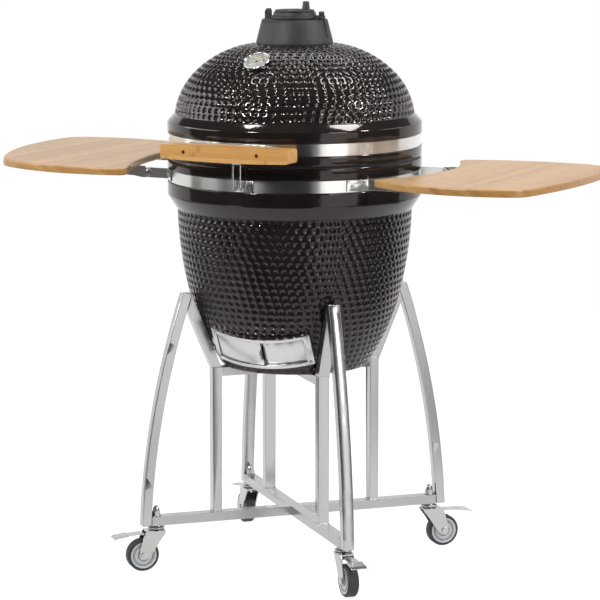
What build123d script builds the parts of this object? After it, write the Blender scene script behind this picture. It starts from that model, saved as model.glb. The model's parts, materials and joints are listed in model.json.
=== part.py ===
from build123d import *
import math
import os

# Kamado ceramic grill on a four-leg steel cart.
# Millimetres. The origin is on the floor under the pot's vertical axis.
# The front, with the handle, latch and draft door, faces -Y. The lid hinge is at +Y.
# The side tables are at +X and -X, and the legs stand on the four diagonals.

os.makedirs("parts", exist_ok=True)

# ---- ceramic pot -------------------------------------------------------------
RIM_R = 275.0            # smooth rim of the bowl and of the lid
BAND_SEAT_R = 270.7      # groove that a band sits in
BAND_R = 272.3           # outside of a band
BAND_THICK = 1.5
BAND_HIGH = 25.0
RIM_INNER_R = 248.0
BOWL_BOTTOM_Z = 440.0
BOWL_BOTTOM_R = 158.0
BOWL_FLOOR = 25.0
BOWL_LIP_Z = 784.0       # top of the dented zone
BOWL_LIP_R = 254.3
RIM_LOW_Z = 813.0
LOWER_BAND_Z = 843.0
BOWL_TOP_Z = 894.0
GASKET_THICK = 2.0
GASKET_GAP = 0.4
LID_BOTTOM_Z = BOWL_TOP_Z + 2 * GASKET_THICK + GASKET_GAP
UPPER_BAND_Z = 920.0
RIM_HIGH_Z = 970.0
DOME_LOW_Z = 985.0
DOME_LOW_R = 259.0
DOME_TOP_Z = 1136.0
DOME_TOP_R = 84.0
THROAT_R = 55.0

# ---- vent --------------------------------------------------------------------
VENT_LOW_R = 83.0
VENT_HIGH_R = 71.0
VENT_TOP_Z = 1187.5
VENT_HOLE_R = 40.0
LUG_R = 64.0             # distance of the slider's pivot and catch from the axis
KNOB_R = 27.0            # distance of the daisy wheel's knob from the axis
KNOB_TOP_Z = 1226.0

# ---- cart --------------------------------------------------------------------
TUBE_WIDE = 25.0
TUBE_DEEP = 20.0
TUBE_WALL = 1.5
CROSS_LOW_Z = 98.7
CROSS_HIGH_Z = BOWL_BOTTOM_Z
FOOT_R = 352.0           # outer face of a leg at its foot
FOOT_LEAN = 2.2          # how far the leg leans in over the height of the lower cross
LEG_MID = (326.0, 333.0)
LEG_TOP = (257.0, 605.0)
CRADLE_R = 212.0         # inner face of the sloped tube at CRADLE_Z
CRADLE_Z = 537.0
CRADLE_SLOPE = 0.415
LEG_ANGLES = {"front_right": -45, "rear_right": 45, "rear_left": 135, "front_left": 225}

# ---- casters -----------------------------------------------------------------
CASTER_R = 318.0         # swivel axis from the pot's axis
CASTER_TRAIL = 32.0
WHEEL_R = 35.0
WHEEL_WIDE = 24.0
HUB_R = 28.5
AXLE_R = 4.0
STEM_R = 5.0
RUN_FIT = 0.05           # radial clearance of a running fit

# ---- handle, latch, tables, hinge --------------------------------------------
HANDLE_FRONT_Y = -340.0
HANDLE_DEEP = 43.0
HANDLE_X = (-144.0, 152.0)
HANDLE_Z = (914.5, 943.5)
HANDLE_BOW = 4.0
HANDLE_HOLES_X = (-90.0, 80.0)
LATCH_X = 8.0
LATCH_PIVOT = (-290.0, 853.0)
BAIL_LONG = 52.0
BAIL_WIDE = 17.0
BAIL_WIRE_R = 1.75
TABLE_TOP_Z = 885.0
TABLE_THICK = 15.0
TABLE_PIVOT = (292.0, 856.0)
TABLE_ARM_Y = 135.0
HINGE_PIVOT = (318.0, 897.0)
HINGE_BACK_Y = 340.0
HINGE_PIN_R = 5.0

# ---- draft door --------------------------------------------------------------
# The frame is bent round an axis that leans towards the front, square to the bowl's wall.
DRAFT_LEAN = 27.0              # degrees that the axis leans
DRAFT_AXIS_Z = 590.6           # height where the axis crosses the pot's axis
DRAFT_BEND_R = 215.0           # the frame's inner face, from that axis
DRAFT_HALF_WIDE = 113.5
DRAFT_HALF_HIGH = 37.6
DRAFT_WINDOW = 19.0            # half the height of the window
DRAFT_STOP = 101.0             # half the length of the channel that the panels slide in
DRAFT_TURN = 3.0               # degrees that the frame sits round towards +X
DRAFT_SPLIT = 2.5              # degrees from the frame's middle to the door's free edge


def at(radius, height):
    """A point of a profile in the XZ half plane."""
    return (radius, 0, height)


def outline(*points):
    """Edges of an open run of straight lines through the points."""
    return [Line(a, b) for a, b in zip(points, points[1:])]


def ring(*points):
    """The solid of revolution of a closed polygon of (radius, height) points."""
    return revolve(make_face(Polyline(*[at(*p) for p in points], close=True)), Axis.Z)


def sector(points, start, end):
    """Part of a ring, between two angles counted from the front towards +X."""
    face = make_face(Polyline(*[at(*p) for p in points], close=True))
    return Rot(0, 0, start - 90) * revolve(face, Axis.Z, end - start)


def plate_x(points, x_low, x_high):
    """A plate between two X values, with its outline in (y, z)."""
    face = make_face(Polyline(*[(x_low, y, z) for y, z in points], close=True))
    return extrude(face, amount=x_high - x_low, dir=(1, 0, 0))


def plate_y(points, y_low, y_high):
    """A plate between two Y values, with its outline in (x, z)."""
    face = make_face(Polyline(*[(x, y_low, z) for x, z in points], close=True))
    return extrude(face, amount=y_high - y_low, dir=(0, 1, 0))


def block(x_low, x_high, y_low, y_high, z_low, z_high):
    """A box given by its limits."""
    middle = ((x_low + x_high) / 2, (y_low + y_high) / 2, (z_low + z_high) / 2)
    return Pos(*middle) * Box(x_high - x_low, y_high - y_low, z_high - z_low)


def rod(start, end, radius):
    """A round bar between two points."""
    way = Vector(*end) - Vector(*start)
    return Plane(origin=start, z_dir=way) * extrude(Circle(radius), way.length)


def screw(place, normal, head_r=3.6, head_high=2.4, shank_r=1.6, shank_long=6.0):
    """A pan-head screw, with its head standing on the given place."""
    seat = Plane(origin=place, z_dir=normal)
    head = seat * extrude(Circle(head_r), head_high)
    head = head - seat * Pos(0, 0, head_high - 0.9) * extrude(RegularPolygon(1.5, 6), 1)
    return head + seat * extrude(Circle(shank_r), -shank_long)


def save(name, *solids):
    """Writes one sub-part from its separate solids."""
    bodies = []
    for shape in solids:
        bodies += list(shape.solids())
    export_step(Compound(children=bodies) if len(bodies) > 1 else bodies[0], f"parts/{name}.step")


# ---- ceramic bowl and what it holds --------------------------------------------
def bowl_profile():
    """Outer run of the bowl's half section, from the lip down to the bottom."""
    upper = ThreePointArc(at(BOWL_LIP_R, BOWL_LIP_Z), at(246.3, 685), at(226, 585))
    lower = TangentArc(at(226, 585), at(BOWL_BOTTOM_R, BOWL_BOTTOM_Z), tangent=upper % 1)
    return [upper, lower]


def make_bowl():
    band_low = LOWER_BAND_Z - 0.5
    band_high = LOWER_BAND_Z + BAND_HIGH + 0.5
    rim = outline(at(RIM_INNER_R, BOWL_TOP_Z), at(RIM_R - 2, BOWL_TOP_Z), at(RIM_R, BOWL_TOP_Z - 2),
                  at(RIM_R, band_high), at(BAND_SEAT_R, band_high), at(BAND_SEAT_R, band_low),
                  at(RIM_R, band_low), at(RIM_R, RIM_LOW_Z), at(BOWL_LIP_R + 2, BOWL_LIP_Z),
                  at(BOWL_LIP_R, BOWL_LIP_Z))
    bottom = outline(at(BOWL_BOTTOM_R, BOWL_BOTTOM_Z), at(0, BOWL_BOTTOM_Z),
                     at(0, BOWL_BOTTOM_Z + BOWL_FLOOR), at(136, BOWL_BOTTOM_Z + BOWL_FLOOR))
    inner = [ThreePointArc(at(136, BOWL_BOTTOM_Z + BOWL_FLOOR), at(203, 590), at(229, 786))]
    inner += outline(at(229, 786), at(RIM_INNER_R, 822), at(RIM_INNER_R, BOWL_TOP_Z))
    bowl = revolve(make_face(rim + bowl_profile() + bottom + inner), Axis.Z)
    opening = sector([(110, 472), (260, 472), (260, 512), (110, 512)], -28, 30)
    return bowl - opening


save("bowl", make_bowl())
save("base_gasket", ring((RIM_INNER_R, BOWL_TOP_Z), (RIM_R - 4, BOWL_TOP_Z),
                         (RIM_R - 4, BOWL_TOP_Z + GASKET_THICK), (RIM_INNER_R, BOWL_TOP_Z + GASKET_THICK)))
save("lower_band", ring((BAND_R - BAND_THICK, LOWER_BAND_Z), (BAND_R, LOWER_BAND_Z),
                        (BAND_R, LOWER_BAND_Z + BAND_HIGH), (BAND_R - BAND_THICK, LOWER_BAND_Z + BAND_HIGH)))

BOWL_INSIDE_Z = BOWL_BOTTOM_Z + BOWL_FLOOR
FIREBOX_TOP_Z = 650.0
FIRE_RING_TOP_Z = 845.0
firebox = ring((128, BOWL_INSIDE_Z), (188, 592), (194, FIREBOX_TOP_Z), (172, FIREBOX_TOP_Z),
               (166, 600), (106, 470), (106, BOWL_INSIDE_Z))
firebox = firebox - sector([(90, 474), (180, 474), (180, 520), (90, 520)], -24, 24)
save("firebox", firebox)
save("fire_ring", ring((174, FIREBOX_TOP_Z), (194, FIREBOX_TOP_Z), (212, 700), (219, 770),
                       (226, FIRE_RING_TOP_Z), (206, FIRE_RING_TOP_Z), (198, 770), (191, 705)))


def make_grate(radius, z_low, rim_wide, bar_wide, high, pitch):
    """A round cast or welded grate: a rim, parallel bars and two cross bars."""
    rim = ring((radius - rim_wide, z_low), (radius, z_low), (radius, z_low + high),
               (radius - rim_wide, z_low + high))
    count = int((radius - rim_wide) // pitch)
    bars = []
    for step in range(-count, count + 1):
        x = step * pitch
        half = math.sqrt((radius - rim_wide / 2) ** 2 - x ** 2)
        bars.append(block(x - bar_wide / 2, x + bar_wide / 2, -half, half, z_low, z_low + high))
    half = math.sqrt((radius - rim_wide / 2) ** 2 - 80 ** 2)
    for y in (-80, 80):
        bars.append(block(-half, half, y - bar_wide / 2, y + bar_wide / 2, z_low, z_low + high * 0.6))
    return rim.fuse(*bars)


save("charcoal_grate", make_grate(138.2, 541.0, 8.0, 7.0, 6.0, 17.0))
save("cooking_grate", make_grate(230.0, FIRE_RING_TOP_Z + 0.4, 6.0, 4.5, 7.0, 18.0))


# ---- lid -----------------------------------------------------------------------
def make_lid():
    band_low = UPPER_BAND_Z - 0.5
    band_high = UPPER_BAND_Z + BAND_HIGH + 0.5
    rim = outline(at(RIM_INNER_R, LID_BOTTOM_Z), at(RIM_R - 2, LID_BOTTOM_Z), at(RIM_R, LID_BOTTOM_Z + 2),
                  at(RIM_R, band_low), at(BAND_SEAT_R, band_low), at(BAND_SEAT_R, band_high),
                  at(RIM_R, band_high), at(RIM_R, RIM_HIGH_Z), at(DOME_LOW_R + 2, DOME_LOW_Z),
                  at(DOME_LOW_R, DOME_LOW_Z))
    side = ThreePointArc(at(DOME_LOW_R, DOME_LOW_Z), at(246, 1031), at(214, 1076))
    crown = TangentArc(at(214, 1076), at(DOME_TOP_R, DOME_TOP_Z), tangent=side % 1)
    throat = outline(at(DOME_TOP_R, DOME_TOP_Z), at(THROAT_R, DOME_TOP_Z), at(THROAT_R, 1113), at(74, 1112))
    inner_crown = ThreePointArc(at(74, 1112), at(146, 1092), at(196, 1060))
    inner_side = ThreePointArc(at(196, 1060), at(224, 1022), at(237, 980))
    inner_rim = outline(at(237, 980), at(RIM_INNER_R, 960), at(RIM_INNER_R, LID_BOTTOM_Z))
    lid = revolve(make_face(rim + [side, crown] + throat + [inner_crown, inner_side] + inner_rim), Axis.Z)
    return lid - thermometer_hole()


THERMO_CENTRE = (0.0, -176.8, 1104.7)     # middle of the case's back face
THERMO_TILT = math.radians(57)
THERMO_NORMAL = (0.0, -math.cos(THERMO_TILT), math.sin(THERMO_TILT))
THERMO_SEAT = Plane(origin=THERMO_CENTRE, z_dir=THERMO_NORMAL)
THERMO_R = 28.5


def thermometer_hole():
    """The hole through the dome for the probe, with a shallow seat for the case."""
    hole = THERMO_SEAT * Pos(0, 0, -60) * extrude(Circle(5), 70)
    seat = THERMO_SEAT * extrude(Circle(THERMO_R + 1), 30)
    return hole + seat


save("lid_dome", make_lid())
save("lid_gasket", ring((RIM_INNER_R, LID_BOTTOM_Z - GASKET_THICK), (RIM_R - 4, LID_BOTTOM_Z - GASKET_THICK),
                        (RIM_R - 4, LID_BOTTOM_Z), (RIM_INNER_R, LID_BOTTOM_Z)))
save("upper_band", ring((BAND_R - BAND_THICK, UPPER_BAND_Z), (BAND_R, UPPER_BAND_Z),
                        (BAND_R, UPPER_BAND_Z + BAND_HIGH), (BAND_R - BAND_THICK, UPPER_BAND_Z + BAND_HIGH)))

thermo_case = THERMO_SEAT * (extrude(Circle(THERMO_R), 7) - Pos(0, 0, 2.5) * extrude(Circle(26), 8))
thermo_case = thermo_case + THERMO_SEAT * Pos(0, 0, -75) * extrude(Circle(3), 76)
save("thermometer_case", thermo_case)
save("thermometer_dial", THERMO_SEAT * Pos(0, 0, 2.5) * extrude(Circle(25.9), 1))
save("thermometer_glass", THERMO_SEAT * Pos(0, 0, 5.4) * extrude(Circle(25.9), 1.2))


# ---- vent on top of the lid ------------------------------------------------------
def make_vent_base():
    cone = ring((74, DOME_TOP_Z), (VENT_LOW_R, DOME_TOP_Z), (VENT_LOW_R, DOME_TOP_Z + 3),
                (VENT_HIGH_R, VENT_TOP_Z - 1.5), (VENT_HIGH_R - 1.5, VENT_TOP_Z), (VENT_HOLE_R, VENT_TOP_Z),
                (VENT_HOLE_R, VENT_TOP_Z - 6), (VENT_HIGH_R - 9, VENT_TOP_Z - 6))
    pivot = rod((LUG_R, 0, VENT_TOP_Z - 2), (LUG_R, 0, 1200), 3.0)
    pivot = pivot + rod((LUG_R, 0, 1197.4), (LUG_R, 0, 1205), 6.0)
    rib = plate_y([(70, VENT_TOP_Z - 3), (79, 1150), (81.5, 1150), (76.5, 1180), (75, 1186), (70, 1186)], -5, 5)
    catch = plate_y([(-57.5, VENT_TOP_Z - 1), (-57.5, 1204), (-60, 1209), (-65, 1209), (-69, 1203),
                     (-69, VENT_TOP_Z - 1)], -6, 6)
    catch = catch - rod((-63, -8, 1199), (-63, 8, 1199), 2.5)
    return cone.fuse(pivot, rib, catch)


def make_vent_slider():
    disc = ring((26, 1188.2), (50, 1188.2), (51, 1189), (51, 1194), (46, 1196.5), (45, 1203), (26, 1203))
    ear = extrude(Plane.XY.offset(1188.2) * Pos(50, 0) * Rectangle(30, 14), 8.6)
    ear = ear + Pos(LUG_R, 0, 1188.2) * extrude(Circle(8), 8.6)
    ear = ear - Pos(0, 0, 1180) * extrude(Circle(40), 30)
    slider = disc.fuse(ear)
    return slider - Pos(LUG_R, 0, 1180) * extrude(Circle(3 + RUN_FIT), 30)


def make_daisy_wheel():
    wheel = Pos(0, 0, 1203.4) * extrude(Circle(42), 4.0)
    for step in range(5):
        wheel = wheel - Rot(0, 0, 36 + 72 * step) * Pos(27, 0, 1200) * extrude(Circle(8.5), 12)
    boss = Pos(0, 0, 1196) * extrude(Circle(9), 12.5)
    knob = ring((0, 1207), (8.5, 1207), (8.5, 1209), (6.6, 1224.5), (5.5, KNOB_TOP_Z), (0, KNOB_TOP_Z))
    return wheel.fuse(boss, Pos(KNOB_R, 0, 0) * knob)


save("vent_base", make_vent_base())
save("vent_slider", make_vent_slider())
save("daisy_wheel", make_daisy_wheel())


# ---- handle and latch ------------------------------------------------------------
HANDLE_BACK_Y = HANDLE_FRONT_Y + HANDLE_DEEP


def make_handle():
    """A straight bar with a bowed underside and rounded edges."""
    x_low, x_high = HANDLE_X
    z_low, z_high = HANDLE_Z
    middle = (x_low + x_high) / 2
    under = ThreePointArc((x_low, HANDLE_FRONT_Y, z_low), (middle, HANDLE_FRONT_Y, z_low - HANDLE_BOW),
                          (x_high, HANDLE_FRONT_Y, z_low))
    rest = outline((x_high, HANDLE_FRONT_Y, z_low), (x_high, HANDLE_FRONT_Y, z_high),
                   (x_low, HANDLE_FRONT_Y, z_high), (x_low, HANDLE_FRONT_Y, z_low))
    bar = extrude(make_face([under] + rest), amount=HANDLE_DEEP, dir=(0, 1, 0))
    bar = fillet(bar.edges().filter_by(Axis.Y), 5)
    for x in HANDLE_HOLES_X:
        bar = bar - rod((x, HANDLE_FRONT_Y - 1, 929), (x, HANDLE_FRONT_Y + 14, 929), 4.0)
        bar = bar - rod((x, HANDLE_FRONT_Y, 929), (x, HANDLE_BACK_Y + 1, 929), 2.6)
    return bar


def make_handle_bracket():
    """A formed strap behind the bar, with two legs welded to a foot on the band."""
    strap = block(-100, 92, HANDLE_BACK_Y + 0.1, HANDLE_BACK_Y + 2.6, 918, 945.5)
    foot = sector([(BAND_R + 0.1, 922), (BAND_R + 2.6, 922), (BAND_R + 2.6, 943), (BAND_R + 0.1, 943)], -13, 16)
    legs = []
    for x in (-58.0, 68.0):
        reach = -math.sqrt((BAND_R + 1.0) ** 2 - (abs(x) + 1.5) ** 2)
        legs.append(block(x - 1.5, x + 1.5, HANDLE_BACK_Y + 1, reach, 922, 943))
    bracket = strap.fuse(foot, *legs)
    for x in HANDLE_HOLES_X:
        bracket = bracket - rod((x, HANDLE_BACK_Y - 1, 929), (x, HANDLE_BACK_Y + 4, 929), 2.6)
    return bracket


save("handle_bar", make_handle())
save("handle_bracket", make_handle_bracket())
handle_screws = []
for hole_x in HANDLE_HOLES_X:
    seat_y = HANDLE_FRONT_Y + 14
    handle_screws.append(rod((hole_x, seat_y - 3.5, 929), (hole_x, seat_y - 0.1, 929), 3.8)
                         + rod((hole_x, seat_y - 1, 929), (hole_x, HANDLE_BACK_Y + 8, 929), 2.4))
save("handle_screws", *handle_screws)

catch_ear = plate_x([(-276.5, 901), (-276.5, 919), (-274.9, 921), (-274.9, 941), (-279, 941), (-279, 903.4),
                     (-284.4, 903.4), (-284.4, 901)], LATCH_X - 6, LATCH_X + 6)
save("latch_catch", catch_ear)


def make_bail():
    """A wire loop: two long rods, a cross bar on top and two inward pivot ends."""
    pivot_y, pivot_z = LATCH_PIVOT
    lean = 2.0
    top = (pivot_y + lean, pivot_z + BAIL_LONG)
    half = BAIL_WIDE / 2
    path = FilletPolyline((LATCH_X - half + 5, pivot_y, pivot_z), (LATCH_X - half, pivot_y, pivot_z),
                          (LATCH_X - half, *top), (LATCH_X + half, *top), (LATCH_X + half, pivot_y, pivot_z),
                          (LATCH_X + half - 5, pivot_y, pivot_z), radius=3)
    section = Plane(origin=path @ 0, z_dir=path % 0) * Circle(BAIL_WIRE_R)
    return sweep(section, path=path)


def make_latch_bracket():
    """A plate bolted on the band, with a bent ear that holds the bail's pivot."""
    pivot_y, pivot_z = LATCH_PIVOT
    plate = sector([(BAND_R + 0.1, 844), (BAND_R + 2.1, 844), (BAND_R + 2.1, 867.5), (BAND_R + 0.1, 867.5)], -0.4, 8.0)
    ear = block(LATCH_X - 3, LATCH_X + 3, pivot_y - 4.5, -273.6, pivot_z - 4.5, pivot_z + 4.5)
    ear = ear - rod((LATCH_X - 9, pivot_y, pivot_z), (LATCH_X + 9, pivot_y, pivot_z), BAIL_WIRE_R + RUN_FIT)
    return plate + ear


save("latch_bail", make_bail())
save("latch_bracket", make_latch_bracket())


# ---- side tables -------------------------------------------------------------------
def mirrored(shape, side):
    """The shape for side +1, or its mirror image about the YZ plane for side -1."""
    return shape if side > 0 else mirror(shape, about=Plane.YZ)


# Corners and middle points of each board's four edges, as (distance from the YZ plane, y).
BOARD_EDGES = {
    "right": [(306, -268), (470, -336), (652, -305), (686, -60), (672, 172), (500, 196), (322, 150), (377, -80)],
    "left": [(238, -318), (372, -339), (570, -272), (660.3, -75), (680.3, 208), (540, 232), (322, 168), (319, -70)],
}
BOARD_ROUNDS = {"right": (48, 95), "left": (40, 60)}


def make_table_board(side_name):
    """A bamboo board: bowed front, outer and back edges, and a hollow towards the pot."""
    run = BOARD_EDGES[side_name] + BOARD_EDGES[side_name][:1]
    edges = [ThreePointArc(run[k], run[k + 1], run[k + 2]) for k in (0, 2, 4, 6)]
    face = make_face(edges)
    for corner, radius in zip((run[2], run[4], run[0], run[6]), BOARD_ROUNDS[side_name] + (16, 20)):
        vertex = face.vertices().sort_by_distance((corner[0], corner[1], 0))[0]
        face = fillet([vertex], radius)
    board = extrude(Plane.XY.offset(TABLE_TOP_Z - TABLE_THICK) * face, TABLE_THICK)
    return fillet(board.faces().filter_by(Axis.Z).edges(), 3.0)


def make_table_mount(way):
    """The fixed half of a table bracket: a foot on the band and an ear for the pivot."""
    pivot_x, pivot_z = TABLE_PIVOT
    start, end = (49.5, 61.3) if way < 0 else (118.7, 130.5)
    foot = sector([(BAND_R + 0.1, 845), (BAND_R + 2.3, 845), (BAND_R + 2.3, 867), (BAND_R + 0.1, 867)], start, end)
    y_low = way * TABLE_ARM_Y - 1.5
    ear = plate_y([(238, 845), (238, 867), (300, 867), (306, 861), (306, 850), (301, 845)], y_low, y_low + 3)
    ear = ear - rod((pivot_x, y_low - 2, pivot_z), (pivot_x, y_low + 5, pivot_z), 4.0 + RUN_FIT)
    return foot + ear


def make_table_arm(way):
    """The folding half: an angle section under the board, with a rounded pivot end."""
    pivot_x, pivot_z = TABLE_PIVOT
    board_z = TABLE_TOP_Z - TABLE_THICK
    y_near = way * (TABLE_ARM_Y + 2.1)
    y_far = y_near + way * 2.5
    y_low, y_high = sorted((y_near, y_far))
    web = plate_y([(pivot_x, board_z - 25), (pivot_x, board_z), (560, board_z), (560, board_z - 10),
                   (535, board_z - 18), (pivot_x + 30, board_z - 22), (pivot_x + 10, board_z - 25)], y_low, y_high)
    nose = rod((pivot_x, y_low, pivot_z), (pivot_x, y_high, pivot_z), 11.0)
    y_low, y_high = sorted((y_near, y_near + way * 20))
    flange = block(pivot_x + 34, 560, y_low, y_high, board_z - 2.5, board_z)
    arm = web.fuse(nose, flange)
    return arm - rod((pivot_x, y_near - way * 3, pivot_z), (pivot_x, y_far + way * 3, pivot_z), 4.0 + RUN_FIT)


def make_table_pin(way):
    """A shouldered pivot bolt through the ear and the arm."""
    pivot_x, pivot_z = TABLE_PIVOT
    inner_y = way * (TABLE_ARM_Y - 4.2)
    outer_y = way * (TABLE_ARM_Y + 7.0)
    shank = rod((pivot_x, inner_y, pivot_z), (pivot_x, outer_y, pivot_z), 4.0)
    nut = rod((pivot_x, inner_y, pivot_z), (pivot_x, inner_y + way * 2.4, pivot_z), 6.5)
    head = rod((pivot_x, outer_y - way * 2.0, pivot_z), (pivot_x, outer_y, pivot_z), 6.5)
    return shank.fuse(nut, head)


mounts = []
pins = []
for side in (1, -1):
    side_name = "right" if side > 0 else "left"
    board = make_table_board(side_name)
    save(f"table_{side_name}", mirrored(board, side))
    arms = []
    for way in (-1, 1):
        arms.append(mirrored(make_table_arm(way), side))
        mounts.append(mirrored(make_table_mount(way), side))
        pins.append(mirrored(make_table_pin(way), side))
    save(f"table_arms_{side_name}", *arms)
save("table_mounts", *mounts)
save("table_pins", *pins)


# ---- lid hinge ---------------------------------------------------------------------
def make_hinge_lower():
    pivot_y, pivot_z = HINGE_PIVOT
    foot = sector([(BAND_R + 0.1, 845), (BAND_R + 3.1, 845), (BAND_R + 3.1, 866), (BAND_R + 0.1, 866)], 166, 194)
    parts = [foot]
    for x in (-56.0, 53.0):
        outline_yz = [(267, 845), (267, 866), (276.5, 868), (pivot_y - 13, pivot_z), (pivot_y - 7, pivot_z + 11),
                      (pivot_y + 7, pivot_z + 11), (HINGE_BACK_Y, pivot_z + 4), (HINGE_BACK_Y, pivot_z - 8),
                      (pivot_y - 8, 845)]
        parts.append(plate_x(outline_yz, x, x + 3))
    hinge = parts[0].fuse(*parts[1:])
    hinge = hinge - ring((0, 844), (BAND_R + 0.1, 844), (BAND_R + 0.1, 867), (0, 867))
    return hinge - rod((-70, pivot_y, pivot_z), (70, pivot_y, pivot_z), HINGE_PIN_R + 0.1)


def make_hinge_upper():
    pivot_y, pivot_z = HINGE_PIVOT
    foot = sector([(BAND_R + 0.1, 922), (BAND_R + 3.1, 922), (BAND_R + 3.1, 943), (BAND_R + 0.1, 943)], 168, 192)
    parts = [foot]
    for x in (-49.0, 46.0):
        outline_yz = [(268, 922), (268, 943), (286, 943), (pivot_y + 11, pivot_z + 5), (pivot_y + 11, pivot_z - 5),
                      (pivot_y + 5, pivot_z - 11), (pivot_y - 6, pivot_z - 11), (pivot_y - 13, pivot_z - 3),
                      (277.5, 921)]
        parts.append(plate_x(outline_yz, x, x + 3))
    hinge = parts[0].fuse(*parts[1:])
    hinge = hinge - ring((0, 921), (BAND_R + 0.1, 921), (BAND_R + 0.1, 944), (0, 944))
    return hinge - rod((-70, pivot_y, pivot_z), (70, pivot_y, pivot_z), HINGE_PIN_R + RUN_FIT)


pin_y, pin_z = HINGE_PIVOT
hinge_pin = rod((-59, pin_y, pin_z), (59, pin_y, pin_z), HINGE_PIN_R)
for x in (-61.5, 56.6):
    hinge_pin = hinge_pin + rod((x, pin_y, pin_z), (x + 4.9, pin_y, pin_z), 8)
save("hinge_lower", make_hinge_lower())
save("hinge_upper", make_hinge_upper())
save("hinge_pin", hinge_pin)
springs = []
for x in (-42.0, 12.0):
    springs.append(rod((x, pin_y, pin_z), (x + 30, pin_y, pin_z), 9.5)
                   - rod((x - 1, pin_y, pin_z), (x + 31, pin_y, pin_z), HINGE_PIN_R + 0.4))
save("hinge_springs", *springs)


# ---- screws on the bands --------------------------------------------------------------
def band_screw(angle, height, radius):
    """A screw whose head stands on a bracket's foot, at an angle from the front."""
    turn = math.radians(angle - 90)
    way = (math.cos(turn), math.sin(turn), 0)
    place = (way[0] * radius, way[1] * radius, height)
    return screw(place, way, shank_long=1.5, shank_r=1.4)


SCREW_Z = LOWER_BAND_Z + BAND_HIGH / 2
band_screws = []
for angle in (52.2, 57.4, 122.6, 127.8, -52.2, -57.4, -122.6, -127.8):
    band_screws.append(band_screw(angle, SCREW_Z, BAND_R + 2.4))
for angle in (171, 189):
    band_screws.append(band_screw(angle, SCREW_Z, BAND_R + 3.2))
for height in (850.5, 861.0):
    band_screws.append(band_screw(6.2, height, BAND_R + 2.2))
save("band_screws", *band_screws)


# ---- draft door in the front of the bowl ----------------------------------------------
DRAFT_PLACE = Rot(0, 0, DRAFT_TURN) * Pos(0, 0, DRAFT_AXIS_Z) * Rot(DRAFT_LEAN, 0, 0)


def bent_plate(near, far, low, high, start, end):
    """A sheet bent round the frame's axis, between two offsets, heights and angles."""
    near_r, far_r = DRAFT_BEND_R + near, DRAFT_BEND_R + far
    return sector([(near_r, low), (far_r, low), (far_r, high), (near_r, high)], start, end)


def between(shape, low, high):
    """Keeps what lies between two upright planes across the frame."""
    return shape & block(low, high, -260, 0, -60, 60)


def bowl_envelope():
    """The lower bowl without its hollow, a hair larger, to shape what lies against it."""
    lower = bowl_profile()[1]
    run = [(point.X + 0.15, point.Z) for point in (lower @ (step / 24) for step in range(25))]
    return ring((0, run[0][1]), *run, (0, run[-1][1]))


def make_draft_frame():
    """The bent frame with its slide channel, then the fixed plate and the left ear."""
    high = DRAFT_HALF_HIGH
    inside = high - 5.5
    frame = between(bent_plate(-6, 8.8, -high, high, -45, 45), -DRAFT_HALF_WIDE, DRAFT_HALF_WIDE)
    frame = frame - between(bent_plate(1.8, 7.3, -inside, inside, -44, 44), -DRAFT_STOP, DRAFT_STOP)
    frame = frame - between(bent_plate(6.5, 12, 8 - high, high - 8, -44, 44), -DRAFT_STOP, DRAFT_STOP)
    frame = frame - bent_plate(-9, 4, -DRAFT_WINDOW, DRAFT_WINDOW, -25.5, 25.5)
    frame = DRAFT_PLACE * frame - bowl_envelope()
    fixed = between(bent_plate(4.0, 5.0, -inside, inside, DRAFT_SPLIT + 1, 44), -DRAFT_STOP, DRAFT_STOP)
    ear = between(bent_plate(6.8, 8.8, -7, 9, -45, -28), -DRAFT_HALF_WIDE - 5, -DRAFT_HALF_WIDE)
    return [frame, DRAFT_PLACE * fixed, DRAFT_PLACE * ear]


def make_draft_door():
    """The sliding leaf with the finger tab that stands on its free edge."""
    inside = DRAFT_HALF_HIGH - 5.9
    leaf = between(bent_plate(5.6, 6.8, -inside, inside, -44, DRAFT_SPLIT), 0.6 - DRAFT_STOP, 110)
    root, crest = DRAFT_BEND_R + 6.0, DRAFT_BEND_R + 17.0
    tab = plate_y([(root, -13), (crest - 3, -12), (crest, -4), (crest, 3), (crest - 3, 12), (root, 13)], -0.8, 0.8)
    return DRAFT_PLACE * (leaf + Rot(0, 0, DRAFT_SPLIT - 90.3) * tab)


def make_draft_screen():
    """The perforated leaf behind the door."""
    inside = DRAFT_HALF_HIGH - 5.9
    leaf = between(bent_plate(2.2, 3.4, -inside, inside, -44, DRAFT_SPLIT), 0.6 - DRAFT_STOP, 110)
    for row in range(4):
        for step in range(8):
            angle = -23.5 + 3.0 * step + 1.5 * (row % 2)
            height = -15.0 + 10.0 * row
            leaf = leaf - Rot(0, 0, angle - 90) * rod((200, 0, height), (232, 0, height), 2.6)
    return DRAFT_PLACE * leaf


save("draft_frame", *make_draft_frame())
save("draft_door", make_draft_door())
save("draft_screen", make_draft_screen())
draft_screws = []
for height in (5.5 - DRAFT_HALF_HIGH, DRAFT_HALF_HIGH - 5.5):
    for side in (-1, 1):
        radius = DRAFT_BEND_R + 8.9
        turn = math.asin(side * 107.0 / radius) - math.pi / 2
        outward = (math.cos(turn), math.sin(turn), 0)
        place = (radius * math.cos(turn), radius * math.sin(turn), height)
        head = screw(place, outward, head_r=3.4, head_high=2.0, shank_r=1.5, shank_long=3.0)
        draft_screws.append(DRAFT_PLACE * head)
save("draft_screws", *draft_screws)


# ---- cart ------------------------------------------------------------------------------
def tube(face):
    """A closed tube frame member: the outline face, made into a hollow of the wall's thickness."""
    solid = extrude(face, TUBE_WIDE / 2, both=True)
    hollow = extrude(offset(face, -TUBE_WALL), TUBE_WIDE / 2 - TUBE_WALL, both=True)
    return solid - hollow


def cradle_r(height, out=0.0):
    """Radius of the sloped tube's inner face, or of a line parallel to it."""
    return CRADLE_R + CRADLE_SLOPE * (height - CRADLE_Z) + out


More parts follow.
